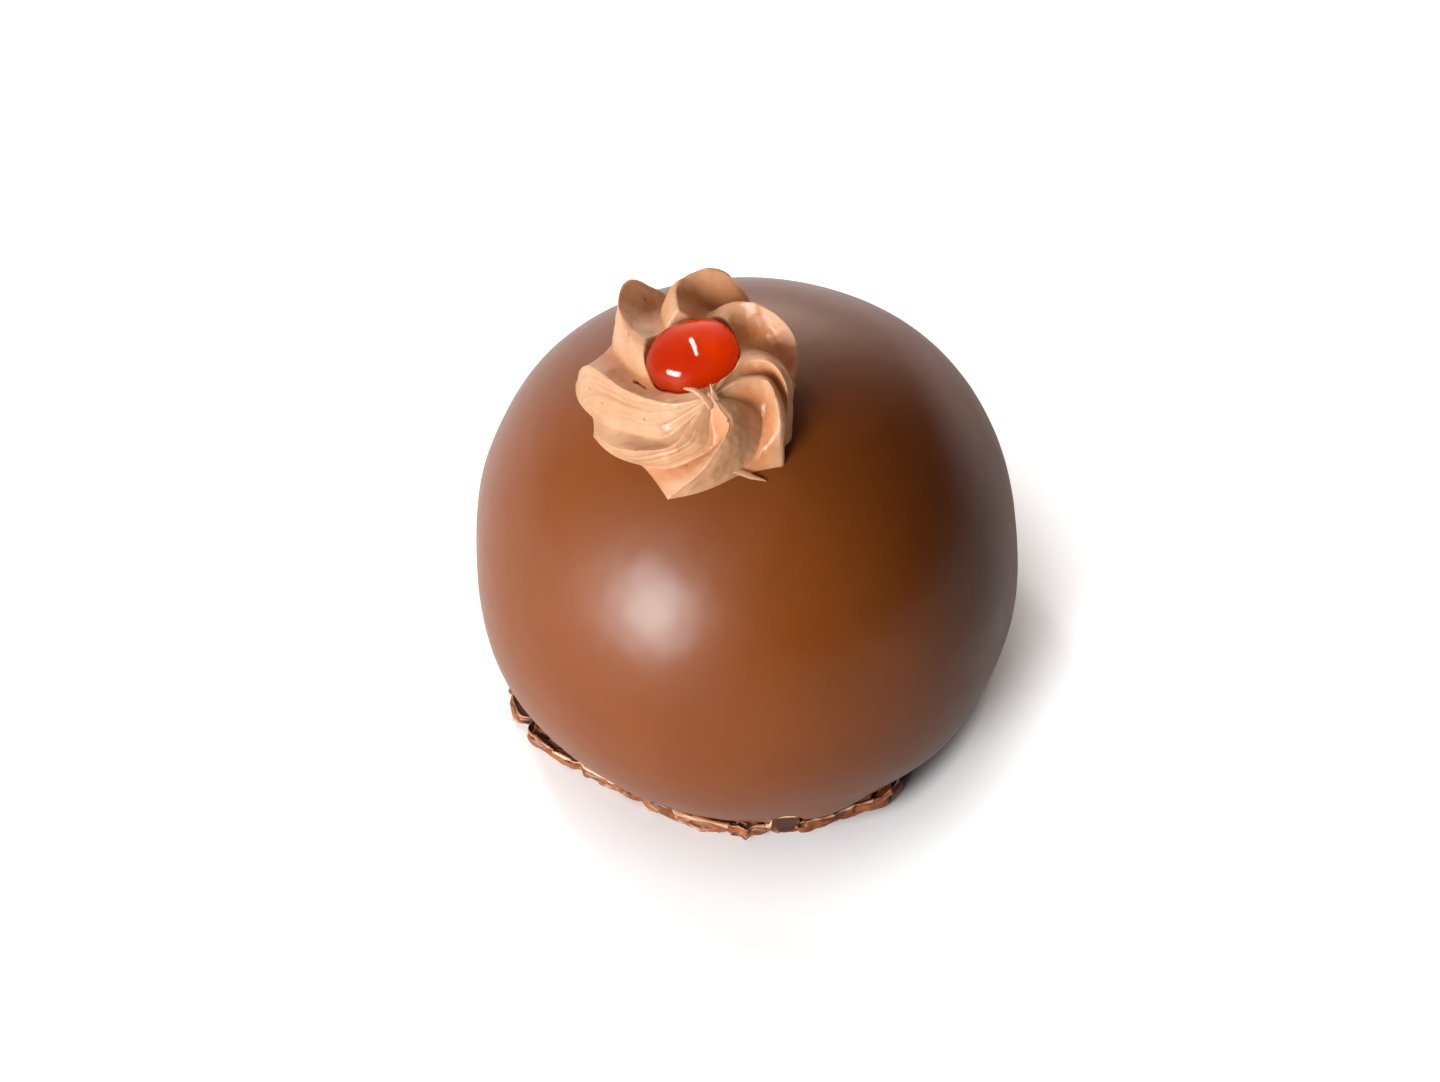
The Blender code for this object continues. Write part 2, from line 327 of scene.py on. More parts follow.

# The table: its side, the way the ball's shadow falls on it, which steers the top's painted shadow and
# painted light, and the way the unseen table's paint brightens behind, also painted light.
TABLE_SIDE = 3.0
SHADOW_WAY = (0.87, 0.50, 0.0)
# The unseen table's paint brightens this way, as painted light.
BRIGHTER_WAY = (-0.45, 0.90, 0.0)
BOUNCE_HEIGHT = -0.05 * MM


def direction(azimuth, elevation):
    level = math.cos(elevation)
    return np.array([level * math.cos(azimuth), level * math.sin(azimuth), math.sin(elevation)])


def degrees_from(azimuth, turns):
    """How far the angles in turns lie from an azimuth, in degrees between -180 and 180."""
    return (np.degrees(turns) - azimuth + 180.0) % 360.0 - 180.0


def hump(distance, width):
    """A soft hump: 1 at no distance, and nearly 0 from about two widths away."""
    return np.exp(-((distance / width) ** 2))


def circle(reach, height, turns):
    """Points round +Z at the angles in turns. Reach and height are one number or one for each angle."""
    return np.stack([reach * np.cos(turns), reach * np.sin(turns), height + 0.0 * turns], axis=1)


def full_turn(count):
    return np.linspace(0.0, 2 * math.pi, count, endpoint=False)


def ripple(points, wavelength, seed, waves=14):
    """A smooth irregular field between about -1 and 1 at the points: a sum of seeded waves."""
    chance = np.random.default_rng(seed)
    headings = chance.normal(size=(waves, 3))
    headings /= np.linalg.norm(headings, axis=1)[:, None]
    lengths = wavelength * chance.uniform(0.7, 1.5, waves)
    phases = chance.uniform(0.0, 2 * math.pi, waves)
    flat = points.reshape(-1, 3)
    total = np.sin(flat @ (headings / lengths[:, None]).T * 2 * math.pi + phases).sum(axis=1)
    return (total / math.sqrt(waves * 0.5) / 2.0).reshape(points.shape[:-1])


def glaze_swell(rays):
    """How far the glaze lies outside the true sphere, for unit vectors from the ball's middle."""
    total = np.zeros(len(rays))
    for azimuth, elevation, spread, height in SWELLS:
        middle = direction(math.radians(azimuth), math.radians(elevation))
        angle = np.degrees(np.arccos(np.clip(rays @ middle, -1.0, 1.0)))
        total += height * MM * hump(angle, spread)
    return total


def rosette_axes():
    """The rosette's right, away and upward unit vectors, as the rows of a matrix."""
    up = direction(ROSETTE_BEARING, math.pi / 2 - ROSETTE_LEAN)
    right = np.array([1.0, 0.0, 0.0]) - up * up[0]
    right /= np.linalg.norm(right)
    return np.array([right, np.cross(up, right), up])


def above_glaze(points):
    """World points for rows of x and y across the rosette's axis and height above the glaze, in mm."""
    x, y, height = np.asarray(points, dtype=float).T * MM
    rise = np.sqrt((BALL_RADIUS + height) ** 2 - x**2 - y**2)
    rays = np.stack([x, y, rise], axis=1) @ rosette_axes()
    rays /= np.linalg.norm(rays, axis=1)[:, None]
    return BALL_MIDDLE + rays * (BALL_RADIUS + glaze_swell(rays) + height)[:, None]


def through(stations, along):
    """A smooth curve through stations at KNOTS, read at the values in along."""
    steps = np.diff(KNOTS)[:, None]
    slopes = np.diff(stations, axis=0) / steps
    tangents = np.empty_like(stations)
    tangents[0], tangents[-1] = slopes[0], slopes[-1]
    tangents[1:-1] = (slopes[:-1] * steps[1:] + slopes[1:] * steps[:-1]) / (steps[:-1] + steps[1:])
    span = np.clip(np.searchsorted(KNOTS, along, side="right") - 1, 0, len(steps) - 1)
    width = steps[span]
    t = (along - KNOTS[span])[:, None] / width
    return (
        stations[span] * (1 + 2 * t) * (1 - t) ** 2
        + tangents[span] * width * t * (1 - t) ** 2
        + stations[span + 1] * t**2 * (3 - 2 * t)
        + tangents[span + 1] * width * t**2 * (t - 1)
    )


def crest_stations(ridge):
    points = [PEAK]
    for station in ridge[1:-1]:
        reach, azimuth = station[0], math.radians(station[1])
        height = station[2] if len(station) == 3 else 0.0
        points.append((reach * math.cos(azimuth), reach * math.sin(azimuth), height))
    return np.array(points)


def valley_stations(crest, following, share, depth, drawn):
    """The valley between a crest and the one that follows it clockwise, in the same five places."""
    points = crest + (following - crest) * share
    points[:, 2] -= points[:, 2] * VALLEY_LOSES * depth
    reach = np.hypot(points[:, 0], points[:, 1])
    points[:, :2] *= (1 - VALLEY_DRAWN * drawn / reach)[:, None]
    return points


def rise_from_valley(phase, share):
    """0 in the valley and 1 on the crests: a hollow side falls, and a full side climbs to the next."""
    if phase < share:
        return (1 - phase / share) ** 1.6
    return math.sin(0.5 * math.pi * (phase - share) / (1 - share)) ** 0.95


def belly(along, phase, share):
    """How far a ridge's full side swells outward in its lower half, in mm."""
    side = max(0.0, (phase - share) / (1 - share))
    return RIDGE_BELLY * np.clip(2 * along - 1, 0.0, 1.0) * math.sin(math.pi * side)


def rosette_surface(along, phases):
    """The ridged surface as x, y and height in mm: a row for each value along the crests, a column for
    each phase of each ridge, clockwise."""
    crests = [crest_stations(ridge) for ridge in RIDGES]
    columns = []
    for ridge, crest, following in zip(RIDGES, crests, crests[1:] + crests[:1]):
        share, depth, drawn = ridge[-1][:3]
        near, far = through(crest, along), through(following, along)
        low = through(valley_stations(crest, following, share, depth, drawn), along)
        drop = low - near - (far - near) * share
        for phase in phases:
            points = near + (far - near) * phase + drop * (1 - rise_from_valley(phase, share))
            reach = np.hypot(points[:, 0], points[:, 1])
            points[:, :2] *= (1 + belly(along, phase, share) / reach)[:, None]
            columns.append(points)
    return np.stack(columns, axis=1)


def skin(rings, first, last):
    """Vertices and faces of a skin closed over rings of equal length, from a first pole to a last one.
    Each ring runs counter-clockwise, seen from the first pole."""
    count, rows = len(rings[0]), len(rings)
    vertices = np.concatenate([[first], *rings, [last]])
    column = np.arange(count)
    after = (column + 1) % count
    faces = np.stack([0 * column, 1 + column, 1 + after], axis=1).tolist()
    for row in range(rows - 1):
        upper, lower = 1 + row * count, 1 + (row + 1) * count
        faces += np.stack([upper + column, lower + column, lower + after, upper + after], axis=1).tolist()
    bottom = 1 + (rows - 1) * count
    faces += np.stack([bottom + column, 0 * column + len(vertices) - 1, bottom + after], axis=1).tolist()
    return vertices, faces


def join(*skins):
    """One list of vertices and one of faces from several skins."""
    vertices, faces, start = [], [], 0
    for points, shapes in skins:
        vertices.append(points)
        faces += [[start + corner for corner in face] for face in shapes]
        start += len(points)
    return np.concatenate(vertices), faces


def add_mesh(name, vertices, faces):
    mesh = bpy.data.meshes.new(name)
    mesh.from_pydata(np.asarray(vertices).tolist(), [], faces)
    mesh.shade_smooth()
    piece = bpy.data.objects.new(name, mesh)
    bpy.context.scene.collection.objects.link(piece)
    return piece


def mark(piece, name, values):
    """Stores one number for each vertex, for the piece's material to read."""
    layer = piece.data.attributes.new(name, "FLOAT", "POINT")
    layer.data.foreach_set("value", np.asarray(values, dtype=np.float32))


def finish_piece(piece, material, node):
    piece.data.materials.append(material)
    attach(piece, "root")
    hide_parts(node)


class Nodes:
    """A short way to write a material's nodes."""

    def __init__(self, name):
        self.material = bpy.data.materials.new(name)
        self.material.use_nodes = True
        self.tree = self.material.node_tree
        self.shader = self.tree.nodes["Principled BSDF"]

    def link(self, source, target):
        self.tree.links.new(source, target)

    def add(self, kind, **settings):
        node = self.tree.nodes.new(kind)
        for key, value in settings.items():
            if hasattr(node, key):
                setattr(node, key, value)
            else:
                node.inputs[key.replace("_", " ")].default_value = value
        return node

    def places(self):
        return self.add("ShaderNodeTexCoord").outputs["Object"]

    def attribute(self, name):
        return self.add("ShaderNodeAttribute", attribute_name=name).outputs["Fac"]

    def noise(self, scale, detail=3.0, roughness=0.5):
        node = self.add("ShaderNodeTexNoise", Scale=scale, Detail=detail, Roughness=roughness)
        self.link(self.places(), node.inputs["Vector"])
        return node.outputs["Fac"]

    def cells(self, scale):
        node = self.add("ShaderNodeTexVoronoi", Scale=scale)
        self.link(self.places(), node.inputs["Vector"])
        return node.outputs["Distance"]

    def ramp(self, source, low, high, to_low=0.0, to_high=1.0):
        node = self.add("ShaderNodeMapRange", interpolation_type="SMOOTHSTEP")
        for name, value in zip(("From Min", "From Max", "To Min", "To Max"), (low, high, to_low, to_high)):
            node.inputs[name].default_value = value
        self.link(source, node.inputs["Value"])
        return node.outputs["Result"]

    def math(self, operation, first, second):
        node = self.add("ShaderNodeMath", operation=operation)
        for socket, value in zip(node.inputs, (first, second)):
            if isinstance(value, float):
                socket.default_value = value
            else:
                self.link(value, socket)
        return node.outputs["Value"]

    def mix(self, share, first, second):
        """The first colour where share is 0 and the second where it is 1."""
        node = self.add("ShaderNodeMix", data_type="RGBA")
        self.link(share, node.inputs["Factor"])
        for socket, value in zip((node.inputs[6], node.inputs[7]), (first, second)):
            if isinstance(value, tuple):
                socket.default_value = (*value, 1.0)
            else:
                self.link(value, socket)
        return node.outputs[2]

    def bump(self, source, distance, strength=1.0):
        node = self.add("ShaderNodeBump", Strength=strength, Distance=distance)
        self.link(source, node.inputs["Height"])
        self.link(node.outputs["Normal"], self.shader.inputs["Normal"])

    def set(self, **values):
        for name, value in values.items():
            socket = self.shader.inputs[name.replace("_", " ")]
            if isinstance(value, bpy.types.NodeSocket):
                self.link(value, socket)
            elif isinstance(value, tuple) and len(value) == 3 and len(socket.default_value) == 4:
                socket.default_value = (*value, 1.0)
            else:
                socket.default_value = value


def glaze_material():
    """Set milk chocolate: satin, with faint clouds of colour and gloss and a barely uneven skin."""
    n = Nodes("milk_chocolate_glaze")
    clouds = n.ramp(n.noise(90.0, 4.0), 0.35, 0.65)
    colour = n.mix(clouds, (0.172, 0.0420, 0.0062), (0.182, 0.0455, 0.0072))
    sheen = n.ramp(n.noise(260.0, 5.0, 0.6), 0.3, 0.7, 0.285, 0.325)
    n.set(Base_Color=colour, Roughness=sheen, IOR=1.45)
    n.bump(n.noise(700.0, 4.0, 0.6), 0.02 * MM, 0.35)
    return n.material


def broken_material():
    """Broken milk chocolate: matt chips of different browns. Thin edges are paler, and they and the lip
    are lightened into a painted highlight; recesses get painted shade. The shades above 1 are those of the
    bit at the dent, painted shade, and of the creamy bit."""
    n = Nodes("broken_milk_chocolate")
    grain = n.noise(1500.0, 4.0, 0.65)
    body = n.mix(n.ramp(grain, 0.35, 0.65), (0.150, 0.040, 0.010), (0.215, 0.066, 0.020))
    shade = n.attribute("shade")
    orange = n.mix(n.ramp(grain, 0.35, 0.65), (0.250, 0.072, 0.018), (0.330, 0.108, 0.032))
    colour = n.mix(n.ramp(shade, 0.25, 0.95), body, orange)
    # The bit at the dent, painted shade.
    colour = n.mix(n.ramp(shade, SHADED_BIT - 0.6, SHADED_BIT - 0.4), colour, (0.060, 0.020, 0.008))
    colour = n.mix(n.ramp(shade, CREAMY - 0.6, CREAMY - 0.4), colour, (0.70, 0.40, 0.24))
    # Painted shade: recesses between chips, the hollows and the ledge behind the lip are darkened.
    colour = n.mix(n.attribute("deep"), colour, (0.030, 0.008, 0.003))
    # Paler broken edges, with a painted highlight on them and along the lip.
    colour = n.mix(n.attribute("pale"), colour, (0.86, 0.50, 0.32))
    n.set(Base_Color=colour, Roughness=0.42, IOR=1.46)
    n.bump(grain, 0.05 * MM, 0.6)
    return n.material


def cream_material():
    """Piped chocolate cream: light brown and moist, with painted golden shade in its hollows, tiny pores
    painted in shade, near-black specks, painted shade in a crack and a few wet spots."""
    n = Nodes("piped_chocolate_cream")
    cloud = n.ramp(n.noise(230.0, 5.0, 0.6), 0.3, 0.7)
    colour = n.mix(cloud, (0.445, 0.232, 0.122), (0.505, 0.288, 0.158))
    # Painted shade: the hollows turn a deeper golden brown, standing for the shade that falls in them.
    colour = n.mix(n.ramp(n.attribute("hollow"), 0.05, 1.0, 0.0, 0.92), colour, (0.46, 0.145, 0.038))
    colour = n.mix(n.ramp(n.noise(900.0, 3.0, 0.7), 0.52, 0.75, 0.0, 0.18), colour, (0.34, 0.12, 0.045))
    # Painted shade: tiny pores are dots darkened where shade falls inside them.
    pore_shade = n.ramp(n.cells(1300.0), 0.08, 0.16, 1.0, 0.0)
    rare = n.ramp(n.noise(420.0, 2.0), 0.60, 0.64)
    colour = n.mix(n.math("MULTIPLY", pore_shade, rare), colour, (0.24, 0.08, 0.03))
    # Near-black specks, and painted shade in the crack.
    colour = n.mix(n.attribute("dark"), colour, (0.035, 0.010, 0.004))
    moist = n.ramp(n.noise(150.0, 3.0), 0.45, 0.66, 0.48, 0.36)
    wet = n.ramp(n.attribute("wet"), 0.15, 0.6)
    gloss = n.math("MULTIPLY", moist, n.ramp(wet, 0.0, 1.0, 1.0, 0.33))
    n.set(Base_Color=colour, Roughness=gloss, IOR=1.45)
    n.set(Subsurface_Weight=0.35, Subsurface_Radius=(1.0, 0.50, 0.25), Subsurface_Scale=1.1 * MM)
    n.bump(n.noise(1100.0, 5.0, 0.65), 0.07 * MM, 0.6)
    return n.material


def jelly_material():
    """Red jelly: glossy, and so deep that the light spreads through it and comes out orange and red."""
    n = Nodes("red_jelly")
    depth = n.ramp(n.noise(160.0, 2.0), 0.3, 0.7)
    colour = n.mix(depth, (0.42, 0.020, 0.0008), (0.50, 0.030, 0.0008))
    n.set(Base_Color=colour, Roughness=0.05, IOR=1.36, Transmission_Weight=0.10, Specular_IOR_Level=0.2)
    n.set(Subsurface_Weight=1.0, Subsurface_Radius=(1.0, 0.25, 0.08), Subsurface_Scale=8.0 * MM)
    n.bump(n.noise(300.0, 2.0), 0.03 * MM, 0.3)
    return n.material


def ball_profile():
    """The ball's half section from the top down, as reach and height from its middle."""
    bend = BALL_BASE_ROUNDING
    bend_height = BALL_BASE + bend
    bend_reach = math.sqrt((BALL_RADIUS - bend) ** 2 - bend_height**2)
    meets = math.acos(bend_height / (BALL_RADIUS - bend))
    points = []
    for angle in np.linspace(0.0, meets, BALL_RINGS + 1)[1:]:
        points.append((BALL_RADIUS * math.sin(angle), BALL_RADIUS * math.cos(angle)))
    for angle in np.linspace(meets, math.pi, 11)[1:]:
        points.append((bend_reach + bend * math.sin(angle), bend_height + bend * math.cos(angle)))
    points.append((0.5 * bend_reach, BALL_BASE))
    return points


def at_dent(turns, softness):
    """1 where the glaze is dented and 0 elsewhere, at the angles in turns, with sides that take up as
    many degrees as softness says."""
    apart = np.abs(degrees_from(DENT_AZIMUTH, turns))
    inside = np.clip((DENT_SPREAD + 0.4 * softness - apart) / softness, 0.0, 1.0)
    return inside * inside * (3 - 2 * inside)


def make_ball(material):
    turns = full_turn(BALL_SEGMENTS)
    rings = []
    for reach, height in ball_profile():
        points = circle(reach, height, turns)
        rays = points / math.hypot(reach, height)
        shown = min(1.0, (height - BALL_BASE) / BALL_SWELL_FADE)
        uneven = 0.05 * MM * ripple(points, 14.0 * MM, 3) + 0.012 * MM * ripple(points, 4.0 * MM, 4)
        above_foot = max(0.0, (BALL_MIDDLE[2] + height - FOOT_THICKNESS) / MM)
        dent = at_dent(turns, 0.8 + above_foot) * hump(above_foot, DENT_HEIGHT)
        proud = (glaze_swell(rays) + uneven) * shown - DENT_DEPTH * dent
        rings.append(BALL_MIDDLE + points + rays * proud[:, None])
    up = np.array([0.0, 0.0, 1.0])
    top = BALL_MIDDLE + up * (BALL_RADIUS + glaze_swell(up[None])[0])
    piece = add_mesh("glazed_ball", *skin(rings, top, BALL_MIDDLE + up * BALL_BASE))
    finish_piece(piece, material, "ball")


def foot_reach(turns):
    reach = np.full(len(turns), FOOT_REACH)
    for azimuth, spread, more in FOOT_LOBES:
        reach += more * MM * hump(degrees_from(azimuth, turns), spread)
    return reach


def chips(across, along, turn_length, seed):
    """Chips of broken chocolate over a sheet: how proud each point lies, in mm, and its chip's shade.
    Across and along are places on the sheet in mm; along repeats after turn_length."""
    chance = np.random.default_rng(seed)
    columns, rows = int(turn_length / CHIP_LENGTH), int(np.ceil(across.max() / CHIP_WIDTH)) + 1
    proud, shade = np.zeros(across.shape), np.zeros(across.shape)
    best = np.full(across.shape, np.inf)
    for row in range(rows):
        for column in range(columns):
            middle = (column + chance.uniform(0.0, 1.0)) * turn_length / columns
            level = (row + chance.uniform(-0.3, 0.8)) * CHIP_WIDTH
            tilt_along, tilt_across = chance.uniform(-0.22, 0.22), chance.uniform(-0.40, 0.40)
            height, tone = chance.uniform(-0.28, 0.28), chance.uniform(0.0, 1.0)
            aside = (along - middle + turn_length / 2) % turn_length - turn_length / 2
            down = across - level
            far = (aside / CHIP_LENGTH) ** 2 + (down / CHIP_WIDTH) ** 2 + 0.25 * aside * down
            mine = (far < best) & (np.abs(aside) < 2.5 * CHIP_LENGTH)
            best = np.where(mine, far, best)
            proud = np.where(mine, height + tilt_along * aside + tilt_across * down, proud)
            shade = np.where(mine, tone, shade)
    return np.clip(proud, -CHIP_PROUD, CHIP_PROUD), shade


def glaze_edge(turns):
    """How far out the glaze stands at the foot's top, in mm."""
    rays = np.array([direction(turn, math.radians(-34.0)) for turn in turns])
    above = BALL_MIDDLE[2] - FOOT_THICKNESS
    return np.sqrt((BALL_RADIUS + glaze_swell(rays)) ** 2 - above**2) / MM


def foot_sections(turns):
    """Corner points of the foot's section at each angle, as reach and height in mm, from the top inside
    to the bottom: a ledge along the glaze, an uneven lip at its edge, higher at the dent, and a broken
    side."""
    edge = foot_reach(turns) / MM - 0.25
    for azimuth, spread, more in FOOT_NICKS:
        edge = edge + more * hump(degrees_from(azimuth, turns), spread)
    places = circle(FOOT_REACH, 0.0, turns)
    edge = edge + 0.12 * ripple(places, 5.0 * MM, 31)
    lip = 0.18 * ripple(places, 6.0 * MM, 33)
    inside = np.minimum(glaze_edge(turns) - 0.1, edge - 0.9)
    dent = at_dent(turns, 0.8)
    lip = lip * (1 - dent) + DENT_WALL_RISE * dent
    level = np.zeros(len(turns))
    corners = [
        (inside - 0.7, level + FOOT_TOP),
        (inside, level + FOOT_TOP),
        (edge - 0.50, FOOT_TOP - 0.25 + 0.5 * lip),
        (edge - 0.28 - 0.2 * dent, FOOT_TOP + lip),
        (edge - 0.05 - 0.2 * dent, FOOT_TOP - 0.05 + lip),
        (edge - 0.1 * dent, FOOT_TOP - 0.35 + lip),
        (edge - 0.20, level + 1.45),
        (edge, level + 0.90),
        (edge - 0.05, level + 0.45),
        (edge - 0.35, level),
    ]
    return np.array(corners)


def blur(values, times):
    """Values on the foot's sheet, smoothed along it and across it."""
    for _ in range(times):
        values = (values + np.roll(values, 1, 1) + np.roll(values, -1, 1)) / 3
        values[1:-1] = (values[:-2] + values[1:-1] + values[2:]) / 3
    return values


def foot_sheet(turns):
    """The foot's smooth skin, a row for each place from the top inside to the bottom and a column for
    each angle: reach, height, and distance along the section from the glaze and from the lip, in mm."""
    corners = foot_sections(turns)
    steps = np.hypot(*np.moveaxis(np.diff(corners, axis=0), 1, 0))
    lengths = np.concatenate([0 * steps[:1], np.cumsum(steps, axis=0)])
    shares = np.linspace(0.0, 1.0, FOOT_ROWS)
    reach, height = np.empty((2, FOOT_ROWS, len(turns)))
    for column in range(len(turns)):
        at = shares * lengths[-1, column]
        reach[:, column] = np.interp(at, lengths[:, column], corners[:, 0, column])
        height[:, column] = np.interp(at, lengths[:, column], corners[:, 1, column])
    across = shares[:, None] * lengths[-1]
    return reach, height, across - lengths[GLAZE_CORNER], across - lengths[LIP_CORNER]


def push_out(reach, height, proud):
    """Moves the foot's skin outward along its section's normal. It never goes under the table."""
    slope_r, slope_z = np.gradient(reach, axis=0), np.gradient(height, axis=0)
    size = np.maximum(np.hypot(slope_r, slope_z), 1e-9)
    reach = reach - slope_z / size * proud
    height = np.maximum(height + slope_r / size * proud, 0.0)
    height[-1] = 0.0
    return reach, height


def make_foot(material):
    """The foot with its chips and hollows. For the material it marks paler thin edges and the lip, which
    carry a painted highlight, painted shade in recesses, in hollows and along the ledge by the glaze, and
    each chip's shade."""
    turns = full_turn(FOOT_COLUMNS)
    reach, height, outside, below_lip = foot_sheet(turns)
    along = np.broadcast_to(turns * FOOT_MEAN_REACH, below_lip.shape)
    proud, shade = chips(below_lip + CHIPS_ABOVE_LIP, along, 2 * math.pi * FOOT_MEAN_REACH, 12)
    proud, shade = blur(proud, 1), blur(shade, 1)
    sheet = np.stack([reach * np.cos(turns), reach * np.sin(turns), height], axis=2)
    hollow = np.clip(ripple(sheet, 4.5, 35) - 0.25, 0.0, 0.6) * np.clip(below_lip / 0.3, 0.0, 1.0)
    proud = proud - HOLLOW_DEPTH * hollow
    for azimuth, spread, low, high, tone in FOOT_BITS:
        apart = np.abs(degrees_from(azimuth, turns))[None]
        inside = (apart < spread * (0.4 + 0.3 * height)) & (height > low) & (height < high)
        shade = np.where(inside, tone, shade)
        proud = np.where(inside, 0.05, proud)
    fade = np.clip((outside - 0.1) / 0.3, 0.0, 1.0)
    reach, height = push_out(reach, height, proud * fade)
    blurred = blur(proud.copy(), 4)
    # Painted highlight: a paler line along the lip's edge, where it catches the light.
    lip_highlight = hump(below_lip - 0.02, LIP_HIGHLIGHT_WIDTH) * np.clip(0.8 + ripple(sheet, 7.0, 36), 0.0, 1.0)
    # The ledge between the glaze and the lip lies under the overhang; it gets painted shade below.
    ledge = np.clip((-below_lip - 0.16) / 0.15, 0.0, 0.6) * (outside > 0.0)
    # Proud chip edges are painted paler: partly their own colour, partly painted highlight.
    edges = np.clip((proud - blurred) * 7.0 - 0.45, 0.0, 0.6) * np.clip(below_lip / 0.2, 0.0, 1.0)
    pale = np.maximum(blur(edges, 1), lip_highlight) * fade
    # Painted shade: lower chips, the hollows and the ledge are darkened where shade falls.
    deep = np.clip((blurred - proud) * 6.0 + 0.9 * hollow + ledge, 0.0, 1.0) * fade
    rings = [circle(FOOT_CORE_REACH, FOOT_THICKNESS, turns)]
    rings += [circle(reach[row] * MM, height[row] * MM, turns) for row in range(FOOT_ROWS)]
    rings.append(circle(FOOT_CORE_REACH, 0.0, turns))
    piece = add_mesh("broken_foot", *skin(rings, (0.0, 0.0, FOOT_THICKNESS), (0.0, 0.0, 0.0)))
    rim = np.zeros(len(turns))
    for name, values in (("pale", pale), ("deep", deep), ("shade", shade)):
        mark(piece, name, np.concatenate([[0.0], rim, values.ravel(), rim, [0.0]]))
    piece.data.set_sharp_from_angle(angle=math.radians(32.0))
    finish_piece(piece, material, "foot")


def jelly_middle():
    return above_glaze([JELLY_PLACE])[0]


def jelly_outline(turns):
    """The pebble's reach at the angles in turns: an ellipse with a bulge at the back right."""
    azimuth, spread, more = JELLY_BULGE
    ellipse = 1 / np.hypot(np.cos(turns) / JELLY_HALF_WIDTH, np.sin(turns) / JELLY_HALF_DEPTH)
    return ellipse * (1 + more * hump(degrees_from(azimuth, turns), spread))


def press_seat(points):
    """Lowers the cream that the jelly would touch, and leaves a soft lip round it."""
    axes = rosette_axes()
    local = (points - jelly_middle()) @ axes.T
    outline = jelly_outline(np.arctan2(local[..., 1], local[..., 0])) + 0.05 * MM
    across = np.hypot(local[..., 0], local[..., 1]) / outline
    bowl = -(JELLY_HALF_HEIGHT + 0.1 * MM) * np.sqrt(np.clip(1 - across**2, 0.0, 1.0))
    limit = bowl + np.clip(across - 1.0, 0.0, None) * 26.0 * MM
    softness = 0.2 * MM
    lowered = softness * np.logaddexp(0.0, (local[..., 2] - limit) / softness)
    return points - lowered[..., None] * axes[2]


def hollow_shade(phase, share):
    """How much painted shade a place gets: 0 on the crests, about 0.75 on the hollow sides and 0.4 in the
    valleys.
    """
    low = 1 - rise_from_valley(phase, share)
    if phase < share:
        return low**0.8 * (1 - 0.6 * (phase / share) ** 4)
    return 0.4 * low**3


def streaks(along, phases, streakiness, seed):
    """Fine grooves that the nozzle's edges drew along a ridge, in mm: a row for each value in along and a
    column for each phase."""
    chance = np.random.default_rng(seed)
    total = np.zeros((len(along), len(phases)))
    for _ in range(GROOVES):
        middle = chance.uniform(0.12, 0.98)
        width = chance.uniform(0.010, 0.030)
        depth = chance.uniform(0.03, 0.12) * streakiness
        start, end = np.sort(chance.uniform(0.1, 1.0, 2))
        fade = 1 / (1 + np.exp(-(along - start) / 0.04)) / (1 + np.exp((along - end) / 0.04))
        wander = middle + 0.02 * np.sin(6.0 * along + chance.uniform(0, 6.28))
        total -= depth * fade[:, None] * hump(phases[None, :] - wander[:, None], width)
    return total


def grid_normals(grid):
    """Unit normals of a grid of points whose columns close round the turn."""
    down = np.gradient(grid, axis=0)
    across = np.roll(grid, -1, axis=1) - np.roll(grid, 1, axis=1)
    normals = np.cross(down, across)
    return normals / np.maximum(np.linalg.norm(normals, axis=2), 1e-12)[..., None]


def near_line(places, start, end):
    """Distance in mm from each place to a straight line between two places across the rosette."""
    start, end = np.array(start), np.array(end)
    span = end - start
    share = np.clip(((places - start) @ span) / (span @ span), 0.0, 1.0)
    return np.linalg.norm(places - start - share[..., None] * span, axis=-1)


def tongue(spine, widths, thickness, seed):
    """A thin torn tongue of cream along a spine of places and heights, as a closed skin."""
    spine, widths = np.array(spine, dtype=float), np.array(widths, dtype=float)
    knots = np.linspace(0.0, 1.0, len(spine))
    along = np.linspace(0.0, 1.0, TONGUE_RINGS)
    path = np.stack([np.interp(along, knots, spine[:, axis]) for axis in range(3)], axis=1)
    for _ in range(4):
        path[1:-1] = (path[:-2] + 2 * path[1:-1] + path[2:]) / 4
    uneven = 1 + 0.03 * np.random.default_rng(seed).normal(size=TONGUE_RINGS)
    width = np.interp(along, knots, widths) * uneven
    ahead = np.gradient(path[:, :2], axis=0)
    ahead /= np.linalg.norm(ahead, axis=1)[:, None]
    turns = full_turn(TONGUE_SIDES)
    rings = []
    for point, forward, half in zip(path, ahead, width):
        side = np.array([-forward[1], forward[0], 0.0])
        rise = np.array([0.0, 0.0, min(thickness, half)])
        ring = point - np.cos(turns)[:, None] * side * half + np.sin(turns)[:, None] * rise
        rings.append(above_glaze(ring))
    return skin(rings, above_glaze([path[0]])[0], above_glaze([path[-1]])[0])


def rosette_marks(places):
    """How cracked and wet the cream is at places across the rosette, and how much darker: its specks, and
    painted shade in the crack; from 0 to about 1.
    """
    crack = 0.7 * hump(near_line(places, *CRACK), CRACK_HALF_WIDTH)
    opening = 0.9 * hump(near_line(places, *CRACK_OPENING), CRACK_OPENING_HALF_WIDTH)
    crack = np.maximum(crack, opening)
    # The crack is darkened as painted shade; the specks are the cream's own colour.
    dark, wet = 1.1 * crack, np.zeros(crack.shape)
    for x, y in SPECKS:
        apart = near_line(places, (x, y), (x + SPECK_LENGTH, y))
        dark = np.maximum(dark, np.exp(-((apart / SPECK_HALF_WIDTH) ** 4)))
    for start, end, width in WET_SPOTS:
        wet = np.maximum(wet, hump(near_line(places, start, end), width))
    return crack, np.clip(dark, 0.0, 1.0), wet


